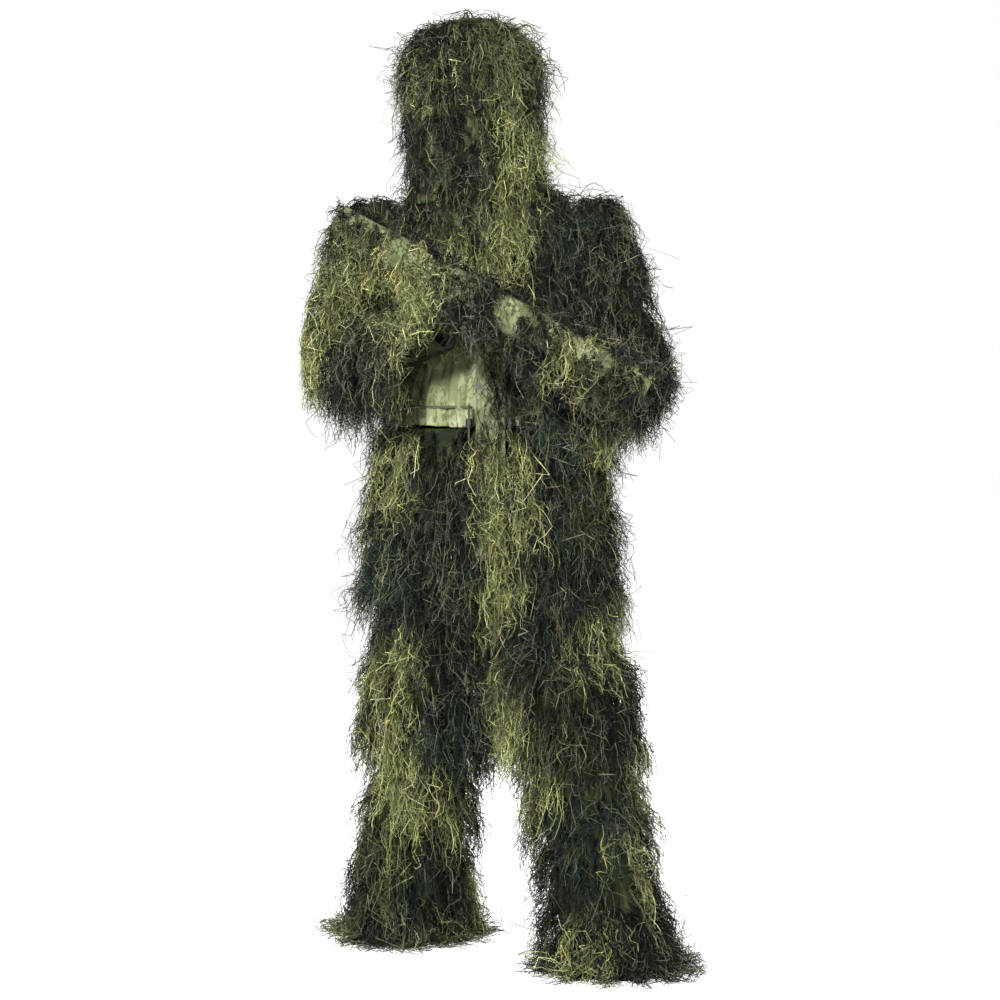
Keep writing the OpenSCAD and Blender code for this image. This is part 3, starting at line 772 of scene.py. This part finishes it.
class Dyer:
    """Chooses the dye of each tuft: patches of one colour with ragged borders."""

    def __init__(self, spacing=0.078):
        low = np.array(cad_low) - 0.05
        high = np.array(cad_high) + 0.05
        self.squash = np.array([1.0, 1.0, 0.62])
        count = int(np.prod((high - low) * self.squash) / spacing ** 3)
        seeds = random.uniform(low, high, (count, 3))
        patches = np.array(DYE_SHARES[:-1])
        self.dyes = random.choice(len(patches), count, p=patches / patches.sum())
        self.tree = KDTree(count)
        for i, seed in enumerate(seeds):
            self.tree.insert(seed * self.squash, i)
        self.tree.balance()
        self.spots = []
        low, high = np.array(cad_low), np.array(cad_high)
        for dye, places in SPOTS.items():
            for across, up, radius in places:
                place = (low + (high - low) * [across, 0, up])[[0, 2]]
                self.spots.append((place, radius, DYE_NAMES.index(dye)))

    def choose(self, roots):
        """Dye number of each root."""
        ragged = roots + random.normal(0, 0.012, roots.shape)
        found = np.array([self.dyes[self.tree.find(p * self.squash)[1]] for p in ragged])
        for place, radius, dye in self.spots:
            gap = (ragged[:, [0, 2]] - place) / [1.0, 1.6]
            inside = (np.linalg.norm(gap, axis=1) < radius) & (roots[:, 1] < torso_y - 0.02)
            found[inside] = dye
        return found


def scatter(corners, count):
    """Even random roots and normals over triangles."""
    normals = normals_of(corners)
    area = np.linalg.norm(normals, axis=1)
    pick = random.choice(len(corners), count, p=area / area.sum())
    u = np.sqrt(random.uniform(0, 1, count))[:, None]
    v = random.uniform(0, 1, count)[:, None]
    chosen = corners[pick]
    roots = chosen[:, 0] * (1 - u) + chosen[:, 1] * u * (1 - v) + chosen[:, 2] * u * v
    return roots, unit(normals[pick])


def keep_off(points, tree, clearance):
    """Moves points out to a clearance from the cloth."""
    for k in range(len(points)):
        near, normal, _, _ = tree.find_nearest(points[k], 0.15)
        if near is None:
            continue
        depth = (points[k] - np.array(near)) @ np.array(normal)
        if depth < clearance[k]:
            points[k] += (clearance[k] - depth) * np.array(normal)
    return points


def hang(roots, normals, lengths, lift, tree):
    """Centre lines of tufts: each leaves the cloth, bends over and hangs down outside it."""
    count = len(roots)
    paths = np.empty((count, GUIDE_STEPS + 1, 3))
    paths[:, 0] = roots
    step = (lengths / GUIDE_STEPS)[:, None]
    heading = unit(normals + 0.35 * DOWN + random.normal(0, 0.35, normals.shape))
    for i in range(GUIDE_STEPS):
        heading = unit(heading * STIFFNESS + DOWN + random.normal(0, 0.16, heading.shape))
        point = paths[:, i] + heading * step
        rise = min(1.0, (i + 1) / (0.4 * GUIDE_STEPS))
        point = keep_off(point, tree, lift * rise)
        point = paths[:, i] + unit(point - paths[:, i]) * step
        point[:, 2] = np.maximum(point[:, 2], FLOOR_CLEARANCE + 0.3 * lift)
        heading = unit(point - paths[:, i])
        paths[:, i + 1] = point
    return paths


def wander(total, s, size):
    """Smooth random sideways runs, none alike, that grow from nothing at the root."""
    found = np.zeros((total, len(s), 3))
    for turns, share in ((0.7, 0.8), (1.7, 0.8), (3.4, 0.7)):
        rate = turns * random.uniform(0.7, 1.35, (total, 1, 3))
        start = random.uniform(0, 2 * math.pi, (total, 1, 3))
        swing = np.clip(random.normal(0, share, (total, 1, 3)), -1.5 * share, 1.5 * share)
        found += swing * np.sin(start + 2 * math.pi * rate * s[None, :, None])
    return found * size[:, None, None] * (s * (1.7 - 0.5 * s))[None, :, None]


def held_in(lines):
    """Strands bent back softly where they would leave the suit's box, kept off the ground, and
    which of them need little bending.
    """
    low = np.array(cad_low) - OVERHANG
    high = np.array(cad_high) + [OVERHANG, OVERHANG, CROWN_OVERHANG]
    centre = (low + high) / 2
    free = (high - low) / 2 - TURN_BACK
    off = lines - centre
    over = np.maximum(np.abs(off) - free, 0)
    held = centre + np.sign(off) * (np.minimum(np.abs(off), free) + TURN_BACK * np.tanh(over / TURN_BACK))
    held[..., 2] = np.maximum(held[..., 2], 0.0025)
    mild = over[..., (0, 1)].max(axis=(1, 2)) < 1.2 * TURN_BACK
    return held, mild & ((over[..., 2] * (off[..., 2] > 0)).max(axis=1) < 1.2 * TURN_BACK)


def strands_along(paths, spread):
    """Frizzy strands round each centre line, and which of them stray far from it."""
    tufts, marks, _ = paths.shape
    owner = np.repeat(np.arange(tufts), STRANDS_A_TUFT)
    total = len(owner)
    s = np.linspace(0, 1, STRAND_SEGMENTS + 1)
    along = random.uniform(0.5, 1.0, total)[:, None] * s * (marks - 1)
    before = np.minimum(along.astype(int), marks - 2)
    part = (along - before)[..., None]
    lines = paths[owner[:, None], before] * (1 - part) + paths[owner[:, None], before + 1] * part
    share = s[None, :, None]
    loose = random.uniform(0, 1, total) < 0.18
    root_shift = random.normal(0, spread * 0.45, (total, 3))[:, None]
    tip_shift = np.clip(random.normal(0, spread, (total, 3)), -2 * spread, 2 * spread)
    tip_shift *= np.where(loose, 1.3, 1.0)[:, None]
    lines = lines + root_shift * (1 - share) + tip_shift[:, None] * share ** 0.8
    size = np.minimum(random.gamma(4.0, CURL / 4, total), 2 * CURL) * np.where(loose, 1.5, 1.0)
    lines += wander(total, s, size)
    return lines, owner, loose


def tint_strands(dyes, owner, loose):
    """Colour of every point of every strand: painted shade darkens it towards the root, and loose strands are
    paler.
    """
    total = len(owner)
    palette = np.array([DYES[name][:3] for name in DYE_NAMES])
    dye = dyes[owner]
    stray = random.uniform(0, 1, total) < 0.13
    dye = np.where(stray, random.choice(len(DYE_NAMES), total, p=DYE_SHARES), dye)
    colour = palette[dye] * random.lognormal(-0.02, 0.56, total)[:, None]
    colour *= 1 + random.normal(0, 0.05, colour.shape)
    pale = palette[DYE_NAMES.index("khaki")]
    colour = np.where(loose[:, None], colour * 0.6 + pale * 0.4, colour)
    s = np.linspace(0, 1, STRAND_SEGMENTS + 1)
    # Painted shade: each strand runs from near black at the root to a little past its full colour at the tip,
    # standing in for the shade deep in the yarn.
    shade = 0.02 + 1.06 * s ** 1.1
    tinted = colour[:, None, :] * shade[None, :, None]
    return np.clip(tinted, 0.002, 0.8)


def strand_mesh(name, lines, radius, colours):
    """Three-sided tubes along lines, with a colour at each point and a map cell for each strand."""
    total, marks, _ = lines.shape
    tangents = unit(np.gradient(lines, axis=1))
    lean = unit(np.cross(lines[:, -1] - lines[:, 0], random.normal(size=(total, 3))))[:, None]
    side = unit(np.cross(tangents, lean))
    over = np.cross(side, tangents)
    turn = 2 * math.pi * np.arange(STRAND_CORNERS) / STRAND_CORNERS
    taper = 1 - 0.55 * np.linspace(0, 1, marks) ** 2
    reach = (radius[:, None] * taper)[:, :, None, None]
    round_it = np.cos(turn)[:, None] * side[:, :, None] + np.sin(turn)[:, None] * over[:, :, None]
    points = lines[:, :, None] + reach * round_it
    points[..., 2] = np.maximum(points[..., 2], 0.0008)

    strand = np.arange(total)[:, None, None]
    mark = np.arange(marks - 1)[None, :, None]
    corner = np.arange(STRAND_CORNERS)[None, None, :]
    def index(m, k):
        return (strand * marks + m) * STRAND_CORNERS + k % STRAND_CORNERS
    quads = np.stack([
        index(mark, corner), index(mark, corner + 1), index(mark + 1, corner + 1), index(mark + 1, corner)],
        axis=-1).reshape(-1)
    caps = np.stack([
        np.stack([index(0, 2), index(0, 1), index(0, 0)], axis=-1).reshape(-1, 3),
        np.stack([index(marks - 1, 0), index(marks - 1, 1), index(marks - 1, 2)], axis=-1).reshape(-1, 3)],
        axis=1).reshape(-1)
    loops = np.concatenate([quads, caps])
    quad_count = total * (marks - 1) * STRAND_CORNERS
    starts = np.concatenate([
        np.arange(quad_count) * 4, quad_count * 4 + np.arange(total * 2) * 3])

    mesh = bpy.data.meshes.new(name)
    mesh.vertices.add(points.size // 3)
    mesh.vertices.foreach_set("co", points.astype(np.float32).ravel())
    mesh.loops.add(len(loops))
    mesh.loops.foreach_set("vertex_index", loops.astype(np.int32))
    mesh.polygons.add(len(starts))
    mesh.polygons.foreach_set("loop_start", starts.astype(np.int32))
    mesh.update(calc_edges=True)
    mesh.shade_smooth()

    rgba = np.ones((total, marks, STRAND_CORNERS, 4), np.float32)
    rgba[..., :3] = colours[:, :, None]
    mesh.color_attributes.new("yarn_colour", "FLOAT_COLOR", "POINT").data.foreach_set("color", rgba.ravel())
    add_cells(mesh, total, marks)
    return mesh


def add_cells(mesh, total, marks):
    """Texture layout: a cell of its own for each strand, its length across and its girth up."""
    columns = math.ceil(math.sqrt(total))
    strand = np.arange(total)
    inset = 0.12 / columns
    left = (strand % columns) / columns + inset
    foot = (strand // columns) / columns + inset
    width = 1 / columns - 2 * inset
    u = left[:, None] + width * np.arange(marks)[None] / (marks - 1)
    v = foot[:, None] + width * np.arange(STRAND_CORNERS + 1)[None] / STRAND_CORNERS
    uv = np.empty((total, marks - 1, STRAND_CORNERS, 4, 2), np.float32)
    uv[..., 0, 0] = uv[..., 1, 0] = u[:, :-1, None]
    uv[..., 2, 0] = uv[..., 3, 0] = u[:, 1:, None]
    uv[..., 0, 1] = uv[..., 3, 1] = v[:, None, :-1]
    uv[..., 1, 1] = uv[..., 2, 1] = v[:, None, 1:]
    ends = np.empty((total, 2, 3, 2), np.float32)
    ends[:, 0, :, 0] = u[:, :1]
    ends[:, 1, :, 0] = u[:, -1:]
    ends[:, :, :, 1] = v[:, None, :3]
    layer = mesh.uv_layers.new(name="OFBake")
    layer.uv.foreach_set("vector", np.concatenate([uv.reshape(-1), ends.reshape(-1)]))


def tiers(roots):
    """Fullness of the yarn: it is tied in uneven rows, each of which swells over the one below."""
    round_it = np.sin(roots[:, 0] * 9 + 1) + np.sin(roots[:, 1] * 11)
    return 0.85 + 0.4 * np.cos(2 * math.pi * roots[:, 2] / TIER + round_it)


def yarn(name, corners, tufts, depth, length, tree, body=None, bend=None, replaces=(), keep=None,
         longest=None, spread=0.010, dye=None):
    """Yarn rooted on some triangles, which rides on a body, or stays where it is made when bend is given. keep
    tells which roots stay, and longest how far each may hang.
    """
    roots, normals = scatter(corners, tufts)
    if keep is not None:
        chosen = keep(roots)
        roots, normals = roots[chosen], normals[chosen]
    lift = depth * random.uniform(0.12, 1.0, len(roots)) ** 0.8 * tiers(roots)
    lengths = random.uniform(length[0], length[1], len(roots))
    if longest is not None:
        lengths = np.minimum(lengths, longest(roots))
    paths = hang(roots, normals, lengths, lift, tree)
    lines, owner, loose = strands_along(paths, spread)
    lines, mild = held_in(lines)
    lines, owner, loose = lines[mild], owner[mild], loose[mild]
    dyes = dyer.choose(roots) if dye is None else np.full(len(roots), DYE_NAMES.index(dye))
    colours = tint_strands(dyes, owner, loose)
    radius = STRAND_RADIUS * random.uniform(0.75, 1.3, len(lines))
    parts = math.ceil(len(lines) / STRANDS_A_PIECE)
    for part, chosen in enumerate(np.array_split(np.arange(len(lines)), parts)):
        label = name if parts == 1 else f"{name}_{part + 1}"
        mesh = strand_mesh(label, lines[chosen], radius[chosen], colours[chosen])
        piece = new_piece(label, mesh, YARN)
        if bend:
            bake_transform(piece)
        else:
            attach(piece, body)
        if part == 0:
            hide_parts(*replaces)


def add_yarn():
    """All the fringe, from the ground up."""
    skins = {}
    for side in SIDES:
        for part in ("shin_panel", "thigh_panel", "knee_gusset"):
            skins[f"{part}_{side}"] = skin_of(f"{part}_{side}", leg_core[side], True)
        for part in ("upper_sleeve", "elbow_gusset", "forearm_sleeve"):
            skins[f"{part}_{side}"] = skin_of(f"{part}_{side}", arm_core[side], True)
        grid, edge, cuff = shoulder_grid(side)
        line = [joint_place(f"shoulder_{side}") - [0, 0, 0.05], edge, cuff]
        skins[f"shoulder_{side}"] = faced_out(grid_corners(grid), line)
    for node in ("back_panel", "front_panel_right", "front_panel_left", "belly_panel_right",
                 "belly_panel_left", "shoulder_yoke", "collar_band", "skirt_panel"):
        skins[node] = skin_of(node, torso_core, True)
    skins["hood_shell"] = skin_of("hood_shell", head_core, True)
    skins["veil_mesh"] = skin_of("veil_mesh", veil_core, True)
    skins["wrap_sleeve"] = skin_of("wrap_sleeve", tool_core, True)
    skins["storm_flap"] = skin_of("storm_flap", torso_core, True)
    loose_pieces = ("veil_mesh", "wrap_sleeve", "storm_flap")
    body_tree = tree_of(np.concatenate([
        corners for name, corners in skins.items() if name not in loose_pieces]))
    veil_tree = tree_of(skins["veil_mesh"])
    tool_tree = tree_of(skins["wrap_sleeve"])

    for side in SIDES:
        add_leg_yarn(side, skins, body_tree)
        add_hip_yarn(side)
        add_arm_yarn(side, skins, body_tree)
    chest = np.concatenate([skins[n] for n in ("front_panel_right", "front_panel_left")])
    yarn("chest_yarn", chest, 260, 0.026, (0.08, 0.13), body_tree, "jacket",
         replaces=["chest_fringe"], longest=above_belly, keep=off_the_belly)
    yarn("belly_yarn", skins["belly_panel_left"], 90, 0.024, (0.08, 0.12), body_tree, "jacket")
    yarn("yoke_yarn", np.concatenate([skins["shoulder_yoke"], skins["collar_band"]]), 330, 0.042,
         (0.10, 0.17), body_tree, "jacket")
    yarn("back_yarn", skins["back_panel"], 330, 0.034, (0.09, 0.14), body_tree, "jacket",
         replaces=["back_fringe"])
    yarn("skirt_yarn", skins["skirt_panel"], 860, 0.038, (0.09, 0.15), body_tree, "jacket",
         replaces=["waist_fringe", "hip_fringe"])
    waist_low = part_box("skirt_panel")[1][2] - 0.07
    flap_high = 1.03
    yarn("waist_yarn", skins["skirt_panel"], 240, 0.026, (0.07, 0.12), body_tree, "jacket",
         keep=lambda roots: roots[:, 2] > waist_low)
    yarn("flap_yarn", skins["storm_flap"], 46, 0.022, (0.08, 0.13), body_tree, "storm_flap",
         keep=lambda roots: roots[:, 2] < flap_high, dye="bright")
    yarn("hood_yarn", skins["hood_shell"], 430, 0.015, (0.06, 0.11), body_tree, "hood",
         replaces=["hood_fringe"], spread=0.009)
    yarn("veil_yarn", skins["veil_mesh"], 230, 0.014, (0.07, 0.13), veil_tree, "veil",
         replaces=["veil_fringe"], spread=0.009)
    add_brim_yarn(skins["hood_shell"], skins["veil_mesh"])
    add_cheek_yarn(skins["hood_shell"], body_tree)
    yarn("tool_yarn", skins["wrap_sleeve"], 560, 0.010, (0.03, 0.08), tool_tree, "rifle_wrap",
         replaces=["wrap_fringe"], keep=off_the_windows, spread=0.008)


def add_leg_yarn(side, skins, tree):
    """Fringe of a trouser leg, thick enough inside to close the gap above the knees."""
    thigh, shin = f"thigh_{side}", f"shin_{side}"
    inward = 1 if side == "right" else -1
    inner_x = leg_core[side][1][0] + inward * 0.055
    hem_high = 0.12
    yarn(f"shin_yarn_{side}", skins[f"shin_panel_{side}"], 400, 0.036, (0.09, 0.15), tree, shin,
         replaces=[f"shin_fringe_{side}"])
    yarn(f"hem_yarn_{side}", skins[f"shin_panel_{side}"], 420, 0.030, (0.09, 0.15), tree, shin,
         keep=lambda roots: roots[:, 2] < hem_high)
    yarn(f"knee_yarn_{side}", skins[f"knee_gusset_{side}"], 230, 0.024, (0.09, 0.15), tree,
         bend=(thigh, shin, *knee_span(side)))
    yarn(f"thigh_yarn_{side}", skins[f"thigh_panel_{side}"], 320, 0.034, (0.09, 0.14), tree, thigh,
         replaces=[f"thigh_fringe_{side}"])
    yarn(f"inner_thigh_yarn_{side}", skins[f"thigh_panel_{side}"], 260, 0.060, (0.12, 0.18), tree, thigh,
         keep=lambda roots: inward * (roots[:, 0] - inner_x) > 0)


def add_hip_yarn(side):
    """Short yarn over the top of a trouser leg, under the jacket's skirt."""
    grid, seat, base = hip_grid(side)
    skin = faced_out(grid_corners(grid), [seat, base])
    yarn(f"hip_yarn_{side}", skin, 150, 0.012, (0.07, 0.12), tree_of(skin),
         bend=("trousers", f"thigh_{side}", seat, base))


def add_arm_yarn(side, skins, tree):
    """Fringe of a sleeve."""
    upper, fore = f"upper_arm_{side}", f"forearm_{side}"
    wrist = arm_core[side][2]
    cuff_reach = 0.10
    yarn(f"upper_arm_yarn_{side}", skins[f"upper_sleeve_{side}"], 300, 0.009, (0.08, 0.13), tree,
         upper, replaces=[f"upper_fringe_{side}"], spread=0.008)
    yarn(f"shoulder_yarn_{side}", skins[f"shoulder_{side}"], 330, 0.010, (0.07, 0.12), tree,
         bend=("jacket", upper, *shoulder_grid(side)[1:]))
    yarn(f"elbow_yarn_{side}", skins[f"elbow_gusset_{side}"], 170, 0.010, (0.07, 0.12), tree,
         bend=(upper, fore, *elbow_span(side)))
    yarn(f"forearm_yarn_{side}", skins[f"forearm_sleeve_{side}"], 240, 0.018, (0.08, 0.14), tree,
         fore, replaces=[f"forearm_fringe_{side}"], longest=above_belly, keep=off_the_belly)
    yarn(f"cuff_yarn_{side}", skins[f"forearm_sleeve_{side}"], 300, 0.020, (0.05, 0.08), tree, fore,
         keep=lambda roots: (np.linalg.norm(roots - wrist, axis=1) < cuff_reach) & off_the_belly(roots))


def above_belly(roots):
    """How far yarn may hang over the right side of the jacket: it stops above the bare belly panel."""
    low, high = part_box("belly_panel_right")
    share = np.clip((roots[:, 0] - low[0]) / 0.05, 0, 1) * (roots[:, 0] < torso_x)
    free = np.maximum(roots[:, 2] - high[2] + 0.01, 0.035)
    return 0.2 * (1 - share) + free * share


def off_the_belly(roots):
    """Roots that leave the bare belly panel in view."""
    low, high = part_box("belly_panel_right")
    across = (roots[:, 0] > low[0] + 0.03) & (roots[:, 0] < torso_x)
    return ~(across & (roots[:, 2] < high[2] + 0.015))


def off_the_windows(roots):
    """Roots clear of the short lengths of tool sleeve that show bare cloth."""
    along = (roots - tool_centre) @ tool_way / tool_half
    if tool_way[0] < 0:
        along = -along
    bare = (np.abs(along + 0.62) < 0.06) | (np.abs(along - 0.12) < 0.07)
    return ~bare


def add_brim_yarn(hood, veil):
    """Yarn from the hood's brow that falls over the veil's hinge."""
    hinge = joint_place("veil_lift")
    at_the_brow = hood[:, :, 2].min(axis=1) > hinge[2] - 0.02
    in_front = hood[:, :, 1].mean(axis=1) < torso_y - 0.05
    high = hood[at_the_brow & in_front]
    tree = tree_of(np.concatenate([hood, veil]))
    yarn("brim_yarn", high, 130, 0.020, (0.09, 0.15), tree, spread=0.009,
         bend=("hood", "veil", hinge + [0, 0, 0.012], hinge - [0, 0, 0.045]))


def add_cheek_yarn(hood, tree):
    """Deep yarn on the hood beside the face opening, which closes the gap behind the veil's wings."""
    brow = joint_place("veil_lift")[2]
    centres = hood.mean(axis=1)
    beside = hood[(centres[:, 1] < middle("hood_shell")[1] - 0.045) & (centres[:, 2] < brow)]
    yarn("cheek_yarn", beside, 150, 0.048, (0.08, 0.13), tree, "hood", spread=0.012)


# ---------- Studio ----------

def add_floor():
    """Plain pale floor, wide enough that its edge is never near the suit."""
    mesh = bpy.data.meshes.new("floor")
    half = 40
    corners = [(-half, -half, 0), (half, -half, 0), (half, half, 0), (-half, half, 0)]
    mesh.from_pydata(corners, [], [(0, 1, 2, 3)])
    floor = in_scene("floor", mesh)
    paint = Paint("studio_floor")
    seen = paint.node("LightPath").outputs["Is Camera Ray"]
    floor.data.materials.append(paint.finish(
        Base_Color=(0.35, 0.35, 0.35, 1.0), Roughness=0.9, Emission_Color=(1, 1, 1, 1),
        Emission_Strength=paint.spread(seen, 0.0, 0.975),
    ))


def add_lamp(name, place, aim, size, power):
    """Square soft lamp that faces a point, both given from the torso's middle line."""
    middle_line = Vector((torso_x, torso_y, 0))
    light = bpy.data.lights.new(name, "AREA")
    light.size = size
    light.energy = power
    lamp = in_scene(name, light)
    lamp.location = Vector(place) + middle_line
    lamp.rotation_euler = (Vector(aim) - Vector(place)).to_track_quat("-Z", "Y").to_euler()


def add_surround():
    """White to look at, and softer as a light."""
    world = bpy.data.worlds.new("surround")
    world.use_nodes = True
    tree = world.node_tree
    seen = tree.nodes.new("ShaderNodeLightPath").outputs["Is Camera Ray"]
    strength = tree.nodes.new("ShaderNodeMapRange")
    strength.inputs["To Min"].default_value = 0.06
    strength.inputs["To Max"].default_value = 1.0
    tree.links.new(seen, strength.inputs["Value"])
    tree.links.new(strength.outputs["Result"], tree.nodes["Background"].inputs["Strength"])
    tree.nodes["Background"].inputs["Color"].default_value = (1, 1, 1, 1)
    bpy.context.scene.world = world


def add_studio():
    """Soft key, fill and back lamps with a white surround."""
    add_floor()
    add_lamp("key", (-1.7, -4.6, 2.9), (0, -0.1, 1.0), 0.9, 580)
    add_lamp("fill", (3.0, -3.8, 2.0), (0, -0.1, 0.9), 2.0, 130)
    add_lamp("back_key", (1.8, 4.4, 3.0), (0, 0, 1.0), 1.2, 420)
    add_lamp("side", (-4.2, 1.2, 2.2), (0, 0, 1.0), 1.6, 150)
    add_surround()
    bpy.context.scene.view_settings.view_transform = "Standard"


def add_camera():
    """Long lens at chest height, tipped a little down."""
    data = bpy.data.cameras.new("camera")
    data.lens = 85
    camera = in_scene("camera", data)
    camera.location = (torso_x + 0.020, torso_y - 4.60, 1.05)
    camera.rotation_euler = (math.radians(90 - 2.16), 0, 0)
    bpy.context.scene.camera = camera


dyer = Dyer()
for material, nodes in NODE_FINISH.items():
    for node in nodes:
        dress(frame["nodes"][node].data, material)
add_cloth()
add_yarn()
add_studio()
add_camera()
